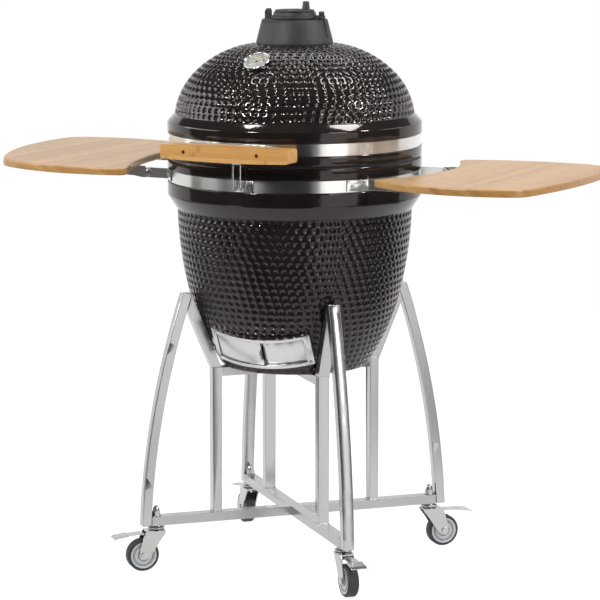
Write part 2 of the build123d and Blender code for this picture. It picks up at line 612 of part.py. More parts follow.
def make_leg():
    """One leg in the XZ half plane: an outer curved tube, a sloped tube and an inner post."""
    foot = at(FOOT_R, CROSS_LOW_Z)
    outer_edge = ThreePointArc(foot, at(*LEG_MID), at(*LEG_TOP))
    inner_edge = ThreePointArc(at(FOOT_R - TUBE_DEEP, CROSS_LOW_Z), at(LEG_MID[0] - 20.4, LEG_MID[1]),
                               at(LEG_TOP[0] - 21.3, LEG_TOP[1]))
    band = make_face([outer_edge, inner_edge, Line(inner_edge @ 1, outer_edge @ 1), Line(outer_edge @ 0, inner_edge @ 0)])
    pot_side = make_face(Polyline(at(cradle_r(400), 400), at(cradle_r(640), 640), at(100, 640), at(100, 400),
                                  close=True))
    outer = band - pot_side
    slope_out = TUBE_DEEP * math.sqrt(1 + CRADLE_SLOPE ** 2)
    top_z = LEG_TOP[1]
    sloped = make_face(Polyline(at(cradle_r(CROSS_HIGH_Z), CROSS_HIGH_Z), at(cradle_r(top_z), top_z),
                                at(cradle_r(top_z, slope_out), top_z),
                                at(cradle_r(CROSS_HIGH_Z, slope_out), CROSS_HIGH_Z), close=True))
    sloped = sloped - band
    sloped = sloped.faces().sort_by(Axis.Z)[0]
    post_r = cradle_r(CROSS_HIGH_Z)
    post_low = CROSS_LOW_Z + TUBE_DEEP
    post = make_face(Polyline(at(post_r, post_low), at(post_r + TUBE_DEEP, post_low),
                              at(post_r + TUBE_DEEP, CROSS_HIGH_Z), at(post_r, CROSS_HIGH_Z), close=True))
    return [tube(outer.faces().sort_by(SortBy.AREA)[-1]), tube(sloped), tube(post)]


POST_R = cradle_r(CROSS_HIGH_Z)


def beam(low, high, z_low):
    """A straight tube along X with its ends at low and high."""
    face = make_face(Polyline(at(low, z_low), at(high, z_low), at(high, z_low + TUBE_DEEP), at(low, z_low + TUBE_DEEP),
                              close=True))
    return tube(face)


def make_cross(reach, z_low):
    """One long beam on one diagonal, and two half beams on the other."""
    long_beam = Rot(0, 0, 45) * beam(-reach, reach, z_low)
    half_a = Rot(0, 0, -45) * beam(TUBE_WIDE / 2, reach, z_low)
    half_b = Rot(0, 0, 135) * beam(TUBE_WIDE / 2, reach, z_low)
    return [long_beam, half_a, half_b]


leg_parts = make_leg()
for name, angle in LEG_ANGLES.items():
    save(f"leg_{name}", *[Rot(0, 0, angle) * part for part in leg_parts])
save("upper_cross", *make_cross(POST_R, CROSS_HIGH_Z - TUBE_DEEP))
lower_cross = []
for part in make_cross(FOOT_R - TUBE_DEEP - FOOT_LEAN, CROSS_LOW_Z):
    for angle in LEG_ANGLES.values():
        part = part - Rot(0, 0, angle) * Pos(CASTER_R, 0, 90) * extrude(Circle(STEM_R + 0.2), 40)
    lower_cross.append(part)
save("lower_cross", *lower_cross)


# ---- casters ------------------------------------------------------------------------------
def make_stem():
    """The threaded stem with the fixed upper race, riveted below the fork's top plate."""
    top = CROSS_LOW_Z + 28
    return ring((0, 83.0), (8, 83.0), (8, 85.6), (STEM_R, 85.6), (STEM_R, 91.0), (17, 91.0), (18.5, 92.5),
                (18.5, 95), (14, 96.5), (14, CROSS_LOW_Z), (STEM_R, CROSS_LOW_Z), (STEM_R, top), (0, top))


def make_cap_nut():
    """A flanged dome nut on the stem, standing on the lower cross."""
    z_low = CROSS_LOW_Z + TUBE_DEEP
    flange = Pos(0, 0, z_low) * extrude(Circle(10.5), 1.8)
    body = Pos(0, 0, z_low) * extrude(RegularPolygon(9.2, 6), 11)
    dome = ring((0, z_low + 10), (7.6, z_low + 10), (7.4, z_low + 15), (5.4, z_low + 20), (2.5, z_low + 22.6),
                (0, z_low + 23))
    nut = flange.fuse(body, dome)
    return nut - Pos(0, 0, z_low - 1) * extrude(Circle(STEM_R + 0.1), 12)


def make_fork():
    """Top plate and two cheeks, with the axle bolt as a second solid."""
    plate = Pos(0, 0, 86.0) * extrude(Circle(19), 3.4)
    plate = plate.fuse(block(0, 26, -16, 16, 86.0, 88.6))
    parts = [plate]
    for way in (-1, 1):
        y_low, y_high = sorted((way * 13.4, way * 16.0))
        cheek = plate_y([(-17, 88), (-17, 83), (-4, 66), (16, 34), (26, 26.5), (38, 26.5), (42, 34), (40, 52),
                         (33, 74), (26, 88)], y_low, y_high)
        parts.append(cheek)
    fork = parts[0].fuse(*parts[1:])
    fork = fork - Pos(0, 0, 80) * extrude(Circle(STEM_R + RUN_FIT), 20)
    fork = fork - rod((CASTER_TRAIL, -20, WHEEL_R), (CASTER_TRAIL, 20, WHEEL_R), AXLE_R + RUN_FIT)
    axle = rod((CASTER_TRAIL, -18.4, WHEEL_R), (CASTER_TRAIL, 18.4, WHEEL_R), AXLE_R)
    for low, high in ((-18.6, -16.1), (16.1, 18.6)):
        axle = axle + rod((CASTER_TRAIL, low, WHEEL_R), (CASTER_TRAIL, high, WHEEL_R), 6.5)
    return [fork, axle]


def wheel_ring(*points):
    """A solid of revolution about the caster's axle, from (radius, offset) points."""
    face = make_face(Polyline(*[(r, y, 0) for r, y in points], close=True))
    return Pos(CASTER_TRAIL, 0, WHEEL_R) * revolve(face, Axis.Y)


def make_wheel():
    half = WHEEL_WIDE / 2
    bore = AXLE_R + RUN_FIT
    return wheel_ring((bore, -half - 0.9), (9, -half - 0.9), (9, -half + 1), (HUB_R - 4, -half + 1),
                      (HUB_R - 2, -half), (HUB_R, -half), (HUB_R, half), (HUB_R - 2, half), (HUB_R - 4, half - 1),
                      (9, half - 1), (9, half + 0.9), (bore, half + 0.9))


def make_tyre():
    half = WHEEL_WIDE / 2
    return wheel_ring((HUB_R, -half), (WHEEL_R - 2.5, -half), (WHEEL_R, -half + 3), (WHEEL_R, half - 3),
                      (WHEEL_R - 2.5, half), (HUB_R, half))


PEDAL_PIVOT = (12.0, 79.0)


def make_pedal():
    """The brake lever: a pivot barrel between the cheeks, a tongue and a broad toe plate."""
    pivot_x, pivot_z = PEDAL_PIVOT
    barrel = rod((pivot_x, -12.6, pivot_z), (pivot_x, 12.6, pivot_z), 3.6)
    tongue = plate_y([(pivot_x, pivot_z - 2), (pivot_x, pivot_z + 2.4), (36, 84.2), (70, 82.4), (70, 80), (38, 81.6),
                      (22, 77.2)], -11.5, 11.5)
    toe = plate_y([(66, 80.2), (66, 82.7), (92, 79.6), (98, 76.2), (97, 74.2), (91, 77.2)], -17, 17)
    return barrel.fuse(tongue, toe)


stem = make_stem()
cap_nut = make_cap_nut()
fork_parts = make_fork()
wheel = make_wheel()
tyre = make_tyre()
pedal = make_pedal()
stems = []
for name, angle in LEG_ANGLES.items():
    seat = Rot(0, 0, angle) * Pos(CASTER_R, 0, 0)
    stems += [seat * stem, seat * cap_nut]
    save(f"caster_fork_{name}", *[seat * part for part in fork_parts])
    save(f"caster_wheel_{name}", seat * wheel)
    save(f"caster_tyre_{name}", seat * tyre)
    save(f"caster_pedal_{name}", seat * pedal)
save("caster_stems", *stems)
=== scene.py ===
import json
import math

import bpy
import bmesh
import numpy as np
from mathutils import Matrix, Vector


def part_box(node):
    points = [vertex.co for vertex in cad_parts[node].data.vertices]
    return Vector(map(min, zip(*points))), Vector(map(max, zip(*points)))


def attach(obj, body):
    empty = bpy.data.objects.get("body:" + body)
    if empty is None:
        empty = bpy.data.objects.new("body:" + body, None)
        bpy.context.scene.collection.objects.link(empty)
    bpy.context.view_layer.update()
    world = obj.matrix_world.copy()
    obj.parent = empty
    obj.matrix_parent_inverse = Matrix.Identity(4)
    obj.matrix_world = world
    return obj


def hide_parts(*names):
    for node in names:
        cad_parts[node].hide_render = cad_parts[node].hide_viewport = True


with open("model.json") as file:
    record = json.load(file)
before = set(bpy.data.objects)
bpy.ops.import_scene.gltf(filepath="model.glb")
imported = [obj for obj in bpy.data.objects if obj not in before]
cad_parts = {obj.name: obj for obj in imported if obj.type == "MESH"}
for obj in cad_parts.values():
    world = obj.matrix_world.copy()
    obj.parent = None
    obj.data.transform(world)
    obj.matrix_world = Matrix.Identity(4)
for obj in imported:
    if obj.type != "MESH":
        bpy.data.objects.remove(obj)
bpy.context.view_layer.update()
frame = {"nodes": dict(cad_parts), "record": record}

# Looks of a kamado ceramic grill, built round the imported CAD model.
# Metres. Origin on the floor under the pot's axis, front towards -Y.

noise = np.random.default_rng(7)
TURN = 2 * math.pi
scene = bpy.context.scene
scene.view_settings.view_transform = "Standard"
nodes = frame["nodes"]

# ---- sizes that the CAD model also has -------------------------------------------
RIM_R = 0.275
BAND_SEAT_R = 0.2707
RIM_INNER_R = 0.248
BOWL_BOTTOM_R, BOWL_BOTTOM_Z, BOWL_FLOOR_Z = 0.158, 0.440, 0.465
BOWL_LIP_R, BOWL_LIP_Z = 0.2543, 0.784
LOWER_BAND_Z, UPPER_BAND_Z, BAND_HIGH = 0.843, 0.920, 0.025
BOWL_TOP_Z, LID_BOTTOM_Z = 0.894, 0.8984
DOME_LOW_R, DOME_LOW_Z = 0.259, 0.985
DOME_TOP_R, DOME_TOP_Z = 0.084, 1.136
THROAT_R = 0.055
THERMO_TILT = math.radians(57)
THERMO_CENTRE = Vector((0.0, -0.1768, 1.1047))
THERMO_NORMAL = Vector((0.0, -math.cos(THERMO_TILT), math.sin(THERMO_TILT)))
THERMO_R = 0.0285
POST_INNER, POST_OUTER, TUBE_WIDE = 0.1717, 0.1917, 0.025
WELD_R = 0.0011
DIAL_LIFT, NEEDLE_LIFT, BEZEL_LIFT = 0.0035, 0.0040, 0.0066
TICK_R, ZONE_IN, ZONE_OUT, BEZEL_R = 0.0235, 0.0140, 0.0172, 0.0272
PORT_LOW, PORT_HIGH = 0.472, 0.512
PORT_FIRST, PORT_SWEEP = -28, 58
WHEEL_FACE = 0.0111
WHEEL_LINES = (0.0125, 0.0205, 0.0232)

# ---- dents in the glaze ----------------------------------------------------------
DENT_DEEP = 0.0031
DENT_R = 0.0086
DENT_PITCH = 0.0183
DENT_ROW = 0.0148
DENT_FIRST = 0.008
BOWL_STEP, DOME_STEP = 0.00235, 0.0021
COLUMNS = 560

# ---- camera and studio -----------------------------------------------------------
CAMERA_TURN = math.radians(26.14)
CAMERA_TILT = 0.1607
CAMERA_AWAY = 5.9725
CAMERA_HIGH = 1.5444
CAMERA_ASIDE = 0.0114
CAMERA_LENS = 166.36
FLOOR_GLOW = 0.88
FLOOR_R = 3.4
POT_MIDDLE = 0.85
CURTAIN_FIRST, CURTAIN_LAST, CURTAIN_AWAY = -48, 16, 6.3


# ======================================================================================
# Materials
# ======================================================================================
def material(name):
    """A new node material: (material, its tree, its Principled shader)."""
    made = bpy.data.materials.new(name)
    made.use_nodes = True
    return made, made.node_tree, made.node_tree.nodes["Principled BSDF"]


def node(tree, kind, inputs=None, **settings):
    """A node with its settings, and its sockets given as values or as other nodes' outputs."""
    made = tree.nodes.new(kind)
    for key, value in settings.items():
        setattr(made, key, value)
    for key, value in (inputs or {}).items():
        if isinstance(value, bpy.types.NodeSocket):
            tree.links.new(value, made.inputs[key])
        else:
            made.inputs[key].default_value = value
    return made


def position(tree, scale=(1, 1, 1)):
    """Object coordinates, stretched."""
    coords = node(tree, "ShaderNodeTexCoord")
    made = node(tree, "ShaderNodeMapping", {"Vector": coords.outputs["Object"], "Scale": scale})
    return made.outputs["Vector"]


def grain(tree, vector, scale, detail=3.0, rough=0.5):
    """The value of a noise texture."""
    made = node(tree, "ShaderNodeTexNoise",
                {"Vector": vector, "Scale": scale, "Detail": detail, "Roughness": rough})
    return made.outputs["Fac"]


def ramp(tree, value, *stops):
    """A colour ramp from (place, colour) stops."""
    made = node(tree, "ShaderNodeValToRGB", {"Fac": value})
    marks = made.color_ramp.elements
    while len(marks) < len(stops):
        marks.new(0.5)
    for mark, (place, colour) in zip(marks, stops):
        mark.position = place
        mark.color = colour if len(colour) == 4 else (*colour, 1)
    return made.outputs["Color"]


def spread(tree, value, low, high):
    """A 0 to 1 value mapped to the range from low to high."""
    made = node(tree, "ShaderNodeMapRange", {"Value": value, "To Min": low, "To Max": high})
    return made.outputs["Result"]


def blend_colour(tree, factor, first, second):
    """Two colours mixed."""
    made = node(tree, "ShaderNodeMix", data_type="RGBA")
    for socket, value in ((made.inputs[0], factor), (made.inputs[6], first), (made.inputs[7], second)):
        if isinstance(value, bpy.types.NodeSocket):
            tree.links.new(value, socket)
        elif isinstance(value, (int, float)):
            socket.default_value = value
        else:
            socket.default_value = (*value, 1)
    return made.outputs[2]


def maths(tree, how, first, second=0.0):
    """One arithmetic step."""
    return node(tree, "ShaderNodeMath", {0: first, 1: second}, operation=how).outputs[0]


def bump(tree, shader, height, strength, distance):
    """Gives the shader a bump from a height value."""
    made = node(tree, "ShaderNodeBump", {"Height": height, "Strength": strength, "Distance": distance})
    tree.links.new(made.outputs["Normal"], shader.inputs["Normal"])


def glazed_ceramic():
    """Glossy black glaze with a warm tint and a slight waviness."""
    made, tree, shader = material("black_glaze")
    cloud = grain(tree, position(tree), 9.0, 4.0)
    colour = ramp(tree, cloud, (0.3, (0.006, 0.0052, 0.005)), (0.75, (0.016, 0.0125, 0.0115)))
    tree.links.new(colour, shader.inputs["Base Color"])
    fine = grain(tree, position(tree), 260.0, 2.0)
    tree.links.new(spread(tree, fine, 0.05, 0.13), shader.inputs["Roughness"])
    shader.inputs["IOR"].default_value = 1.47
    shader.inputs["Specular Tint"].default_value = (1.0, 0.90, 0.87, 1)
    bump(tree, shader, grain(tree, position(tree), 70.0, 2.0), 0.22, 0.0010)
    return made


def fired_clay():
    """Bare, gritty refractory clay."""
    made, tree, shader = material("fired_clay")
    cloud = grain(tree, position(tree), 14.0, 6.0, 0.65)
    colour = ramp(tree, cloud, (0.25, (0.30, 0.24, 0.17)), (0.55, (0.46, 0.38, 0.29)),
                  (0.8, (0.56, 0.49, 0.39)))
    tree.links.new(colour, shader.inputs["Base Color"])
    shader.inputs["Roughness"].default_value = 0.92
    bump(tree, shader, grain(tree, position(tree), 420.0, 5.0, 0.7), 0.5, 0.0008)
    return made


def felt():
    """Black gasket felt."""
    made, tree, shader = material("black_felt")
    fibre = grain(tree, position(tree, (1, 1, 3)), 900.0, 4.0, 0.75)
    colour = ramp(tree, fibre, (0.3, (0.008, 0.008, 0.008)), (0.7, (0.035, 0.034, 0.033)))
    tree.links.new(colour, shader.inputs["Base Color"])
    shader.inputs["Roughness"].default_value = 0.95
    shader.inputs["Sheen Weight"].default_value = 0.3
    bump(tree, shader, fibre, 0.8, 0.0006)
    return made


def steel(name, tone, rough, stretch, warm=0.0, smear=0.25, streak=700.0, drawn=0.0):
    """Steel with a drawn grain: stretch says how short the grain is along X, Y and Z."""
    made, tree, shader = material(name)
    shader.inputs["Metallic"].default_value = 1.0
    lines = grain(tree, position(tree, stretch), streak, 3.0, 0.6)
    cloud = grain(tree, position(tree), 11.0, 3.0)
    dark = (tone * 0.80, tone * (0.80 - warm * 0.4), tone * (0.79 - warm))
    light = (tone, tone * (1.0 - warm * 0.3), tone * (0.99 - warm * 0.8))
    colour = blend_colour(tree, maths(tree, "MULTIPLY", lines, cloud), light, dark)
    tree.links.new(colour, shader.inputs["Base Color"])
    mixed = maths(tree, "ADD", maths(tree, "MULTIPLY", lines, 0.6), maths(tree, "MULTIPLY", cloud, 0.4))
    tree.links.new(spread(tree, mixed, rough * (1 - smear), rough * (1 + smear)), shader.inputs["Roughness"])
    shader.inputs["Anisotropic"].default_value = drawn
    shader.inputs["Anisotropic Rotation"].default_value = 0.25
    bump(tree, shader, lines, 0.10, 0.0003)
    return made


def bamboo(name, along, strip=0.021, tint=1.0):
    """Laminated bamboo: strips that run along X or Y, each with its own tone, nodes and fine fibre."""
    def toned(*colour):
        return tuple(part * tint for part in colour)

    made, tree, shader = material(name)
    across_axis, along_axis = ("Y", "X") if along == "X" else ("X", "Y")
    coords = node(tree, "ShaderNodeSeparateXYZ", {"Vector": position(tree)})
    layer = maths(tree, "FLOOR", maths(tree, "MULTIPLY", coords.outputs["Z"], 200.0))
    across = maths(tree, "ADD", maths(tree, "DIVIDE", coords.outputs[across_axis], strip),
                   maths(tree, "MULTIPLY", layer, 0.37))
    index = maths(tree, "FLOOR", across)
    chance = node(tree, "ShaderNodeTexWhiteNoise", {"W": index}, noise_dimensions="1D").outputs["Value"]
    chance_b = node(tree, "ShaderNodeTexWhiteNoise", {"W": maths(tree, "ADD", index, 57.3)},
                    noise_dimensions="1D").outputs["Value"]
    stretch = (6, 90, 90) if along == "X" else (90, 6, 90)
    shift = node(tree, "ShaderNodeVectorMath", {0: position(tree, stretch)}, operation="ADD")
    move = node(tree, "ShaderNodeCombineXYZ", {"X": maths(tree, "MULTIPLY", chance, 40.0),
                                               "Y": maths(tree, "MULTIPLY", chance_b, 40.0)})
    tree.links.new(move.outputs[0], shift.inputs[1])
    fibre = grain(tree, shift.outputs[0], 4.2, 6.0, 0.62)
    base = ramp(tree, chance, (0.0, toned(0.42, 0.215, 0.062)), (0.5, toned(0.52, 0.285, 0.088)),
                (1.0, toned(0.60, 0.35, 0.125)))
    lined = blend_colour(tree, spread(tree, fibre, 0.0, 0.75), base, toned(0.30, 0.135, 0.034))
    step = maths(tree, "ADD", maths(tree, "DIVIDE", coords.outputs[along_axis], 0.23),
                 maths(tree, "ADD", chance_b, maths(tree, "MULTIPLY", fibre, 0.03)))
    ring = maths(tree, "ABSOLUTE", maths(tree, "SUBTRACT", maths(tree, "FRACT", step), 0.5))
    knot = ramp(tree, ring, (0.0, (1, 1, 1)), (0.018, (0.25, 0.25, 0.25)), (0.05, (0, 0, 0)))
    knotted = blend_colour(tree, maths(tree, "MULTIPLY", knot, 0.5), lined, toned(0.20, 0.085, 0.022))
    edge = maths(tree, "ABSOLUTE", maths(tree, "SUBTRACT", maths(tree, "FRACT", across), 0.5))
    joint = ramp(tree, edge, (0.475, (0, 0, 0)), (0.498, (1, 1, 1)))
    final = blend_colour(tree, maths(tree, "MULTIPLY", joint, 0.45), knotted, toned(0.14, 0.06, 0.018))
    tree.links.new(final, shader.inputs["Base Color"])
    tree.links.new(spread(tree, fibre, 0.30, 0.44), shader.inputs["Roughness"])
    shader.inputs["IOR"].default_value = 1.5
    shader.inputs["Coat Weight"].default_value = 0.25
    shader.inputs["Coat Roughness"].default_value = 0.22
    bump(tree, shader, maths(tree, "SUBTRACT", fibre, maths(tree, "MULTIPLY", joint, 0.5)), 0.15, 0.0006)
    return made


def cast_iron():
    """Black painted iron with a sand-cast skin."""
    made, tree, shader = material("black_cast_iron")
    sand = grain(tree, position(tree), 520.0, 4.0, 0.65)
    cloud = grain(tree, position(tree), 24.0, 3.0)
    colour = ramp(tree, cloud, (0.3, (0.010, 0.0102, 0.011)), (0.75, (0.021, 0.0215, 0.023)))
    tree.links.new(colour, shader.inputs["Base Color"])
    tree.links.new(spread(tree, cloud, 0.45, 0.62), shader.inputs["Roughness"])
    bump(tree, shader, sand, 0.55, 0.0007)
    return made


def chrome():
    """Bright plating with a thin haze."""
    made, tree, shader = material("bright_chrome")
    shader.inputs["Metallic"].default_value = 1.0
    haze = grain(tree, position(tree), 60.0, 3.0)
    colour = ramp(tree, haze, (0.3, (0.80, 0.80, 0.81)), (0.8, (0.92, 0.92, 0.92)))
    tree.links.new(colour, shader.inputs["Base Color"])
    tree.links.new(spread(tree, haze, 0.04, 0.12), shader.inputs["Roughness"])
    return made


def plastic(name, colour, rough, speck=400.0):
    """Moulded plastic with a faint texture."""
    made, tree, shader = material(name)
    cloud = grain(tree, position(tree), speck, 3.0)
    dark = tuple(c * 0.86 for c in colour)
    tree.links.new(blend_colour(tree, cloud, dark, colour), shader.inputs["Base Color"])
    tree.links.new(spread(tree, cloud, rough * 0.8, rough * 1.2), shader.inputs["Roughness"])
    bump(tree, shader, cloud, 0.12, 0.0003)
    return made


def rubber():
    """Dusty tyre rubber."""
    made, tree, shader = material("tyre_rubber")
    dust = grain(tree, position(tree), 90.0, 5.0, 0.7)
    colour = ramp(tree, dust, (0.35, (0.012, 0.012, 0.012)), (0.8, (0.045, 0.044, 0.043)))
    tree.links.new(colour, shader.inputs["Base Color"])
    tree.links.new(spread(tree, dust, 0.55, 0.78), shader.inputs["Roughness"])
    bump(tree, shader, grain(tree, position(tree), 900.0, 2.0), 0.25, 0.0003)
    return made


def clear_glass():
    """The thermometer's window."""
    made, tree, shader = material("clear_glass")
    smear = grain(tree, position(tree), 45.0, 3.0)
    tree.links.new(spread(tree, smear, 0.01, 0.07), shader.inputs["Roughness"])
    shader.inputs["Base Color"].default_value = (0.97, 0.98, 0.98, 1)
    shader.inputs["Transmission Weight"].default_value = 1.0
    shader.inputs["IOR"].default_value = 1.45
    return made


def dial_paint(name, colour):
    """Satin enamel of the thermometer's dial."""
    made, tree, shader = material(name)
    cloud = grain(tree, position(tree), 180.0, 2.0)
    dark = tuple(c * 0.93 for c in colour)
    tree.links.new(blend_colour(tree, cloud, dark, colour), shader.inputs["Base Color"])
    shader.inputs["Roughness"].default_value = 0.45
    return made


GLAZE = glazed_ceramic()
CLAY = fired_clay()
FELT = felt()
BAND_STEEL = steel("band_steel", 0.78, 0.22, (0.02, 0.02, 1.0), warm=0.03, drawn=0.8)
CART_STEEL = steel("cart_steel", 0.49, 0.25, (1.0, 1.0, 0.02))
BEAM_STEEL = steel("beam_steel", 0.43, 0.25, (0.02, 0.02, 1.0))
FITTING_STEEL = steel("fitting_steel", 0.80, 0.20, (0.03, 0.03, 1.0))
DOOR_STEEL = steel("door_steel", 0.60, 0.26, (0.03, 0.03, 1.0), smear=0.35)
ZINC = steel("bright_zinc", 0.50, 0.24, (1.0, 1.0, 1.0), streak=260.0, smear=0.4)
SCREW_STEEL = steel("screw_steel", 0.50, 0.30, (1.0, 1.0, 1.0), streak=500.0)
SPRING_STEEL = steel("spring_steel", 0.42, 0.30, (1.0, 1.0, 1.0), streak=400.0)
GRATE_STEEL = steel("grate_steel", 0.62, 0.28, (1.0, 0.02, 1.0))
TABLE_BAMBOO = bamboo("table_bamboo", "Y", tint=0.92)
HANDLE_BAMBOO = bamboo("handle_bamboo", "X", strip=0.0143, tint=1.22)
IRON = cast_iron()
CHROME = chrome()
WHEEL_PLASTIC = plastic("wheel_plastic", (0.47, 0.49, 0.50), 0.38)
# Near-black plastic for the thin rings on the wheels: painted shade in the moulded ring lines.
WHEEL_RING_SHADE = plastic("wheel_ring_shade", (0.07, 0.07, 0.075), 0.5)
TYRE = rubber()
GLASS = clear_glass()
DIAL = dial_paint("dial_white", (0.80, 0.80, 0.74))
DIAL_BLACK = dial_paint("dial_black", (0.03, 0.03, 0.03))
DIAL_YELLOW = dial_paint("dial_yellow", (0.70, 0.66, 0.28))
DIAL_RED = dial_paint("dial_red", (0.60, 0.22, 0.20))

SLOT_MATERIAL = {
    "glazed_ceramic": GLAZE, "fire_ceramic": CLAY, "felt": FELT, "stainless_band": BAND_STEEL,
    "stainless_cart": CART_STEEL, "stainless_fittings": FITTING_STEEL, "screws": SCREW_STEEL,
    "spring_steel": SPRING_STEEL, "bamboo": TABLE_BAMBOO, "cast_iron": IRON, "grate_steel": GRATE_STEEL,
    "chrome": CHROME, "dial": DIAL, "glass": GLASS, "zinc_steel": ZINC, "wheel_plastic": WHEEL_PLASTIC,
    "tyre_rubber": TYRE,
}
NODE_MATERIAL = {
    "handle_bar": HANDLE_BAMBOO, "lower_cross": BEAM_STEEL, "upper_cross": BEAM_STEEL,
    "draft_frame": DOOR_STEEL, "draft_door": DOOR_STEEL, "draft_screen": DOOR_STEEL,
}
BEVELS = {
    "leg_": 0.0016, "lower_cross": 0.0014, "upper_cross": 0.0014, "table_arms": 0.0006,
    "table_mounts": 0.0005, "caster_fork": 0.0005, "caster_pedal": 0.0005, "handle_bracket": 0.0005,
    "latch_bracket": 0.0005, "latch_catch": 0.0004, "hinge_lower": 0.0006, "hinge_upper": 0.0006,
    "draft_frame": 0.0004, "draft_door": 0.0003, "cooking_grate": 0.0006, "charcoal_grate": 0.0008,
    "vent_slider": 0.0008, "vent_base": 0.0009, "daisy_wheel": 0.0007, "caster_stems": 0.0004,
    "hinge_pin": 0.0006,
}


def dress_cad():
    """Gives every carried-over CAD node its material, and soft edges where metal is bent or cast."""
    for entry in frame["record"]["subparts"]:
        name = entry["node"]
        shape = nodes[name]
        shape.data.materials.clear()
        shape.data.materials.append(NODE_MATERIAL.get(name, SLOT_MATERIAL[entry["material_slot"]]))
        width = next((w for key, w in BEVELS.items() if name.startswith(key)), None)
        if width:
            weld = shape.modifiers.new("weld", "WELD")
            weld.merge_threshold = 0.00002
            edge = shape.modifiers.new("soft_edge", "BEVEL")
            edge.width = width
            edge.segments = 2
            edge.limit_method = "ANGLE"
            edge.angle_limit = math.radians(38)
            edge.harden_normals = True


# ======================================================================================
# Mesh helpers
# ======================================================================================
def piece(name, points, faces, look, body, slot, smooth=True):
    """A mesh piece that rides on a body."""
    mesh = bpy.data.meshes.new(name)
    mesh.from_pydata([tuple(p) for p in points], [], [tuple(f) for f in faces])
    mesh.validate()
    mesh.update()
    if smooth:
        mesh.shade_smooth()
    mesh.materials.append(look)
    made = bpy.data.objects.new(name, mesh)
    scene.collection.objects.link(made)
    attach(made, body)
    return made


def arc(start, middle, end, count):
    """Points of the arc through three (radius, height) points, both ends included."""
    (ax, ay), (bx, by), (cx, cy) = start, middle, end
    a_square, b_square, c_square = ax * ax + ay * ay, bx * bx + by * by, cx * cx + cy * cy
    size = 2 * (ax * (by - cy) + bx * (cy - ay) + cx * (ay - by))
    ux = (a_square * (by - cy) + b_square * (cy - ay) + c_square * (ay - by)) / size
    uy = (a_square * (cx - bx) + b_square * (ax - cx) + c_square * (bx - ax)) / size
    radius = math.hypot(ax - ux, ay - uy)
    first = math.atan2(ay - uy, ax - ux)
    sweep = (math.atan2(cy - uy, cx - ux) - first + math.pi) % TURN - math.pi
    return [(ux + radius * math.cos(first + sweep * k / (count - 1)),
             uy + radius * math.sin(first + sweep * k / (count - 1))) for k in range(count)]


def arc_on(run, end, count):
    """An arc that leaves the end of a run without a corner, and goes to the point end."""
    (px, py), (qx, qy) = run[-2], run[-1]
    way = math.atan2(qy - py, qx - px)
    chord = math.atan2(end[1] - qy, end[0] - qx)
    bend = (chord - way + math.pi) % TURN - math.pi
    length = math.hypot(end[0] - qx, end[1] - qy)
    radius = length / (2 * math.sin(bend))
    points = []
    for k in range(count):
        turned = way + 2 * bend * k / (count - 1)
        points.append((qx + radius * (math.sin(turned) - math.sin(way)),
                       qy - radius * (math.cos(turned) - math.cos(way))))
    return points


def even(run, step):
    """The same line with points about one step apart."""
    run = np.array(run)
    along = np.r_[0, np.cumsum(np.hypot(*np.diff(run, axis=0).T))]
    places = np.linspace(0, along[-1], max(2, int(round(along[-1] / step)) + 1))
    return np.c_[np.interp(places, along, run[:, 0]), np.interp(places, along, run[:, 1])]


def dent_depth(run, first):
    """Depth of the dents over a run of (radius, height) points and all columns.

    Staggered rows of round dents, each row with a whole number of them at one pitch.
    """
    along = np.r_[0, np.cumsum(np.hypot(*np.diff(run, axis=0).T))]
    angles = np.arange(COLUMNS) * TURN / COLUMNS
    rows = int((along[-1] - first) / DENT_ROW)
    depth = np.zeros((len(run), COLUMNS))
    phase = 0.0
    for row in range(rows + 1):
        place = first + row * DENT_ROW
        near = np.abs(along - place) < DENT_R
        radius = np.interp(place, along, run[:, 0])
        count = int(round(TURN * radius / DENT_PITCH))
        phase = phase + 0.5 * TURN / count
        off = (angles - phase) * count / TURN
        index = np.round(off)
        across = (off - index) * TURN / count * radius
        size = 1 + 0.07 * noise.standard_normal(count)
        deep = DENT_DEEP * size[index.astype(int) % count]
        far = np.sqrt((along[near, None] - place) ** 2 + across[None, :] ** 2)
        bowl_shape = 0.5 * (1 + np.cos(math.pi * np.minimum(far / DENT_R, 1)))
        depth[near] = np.maximum(depth[near], bowl_shape * deep[None, :])
    return depth


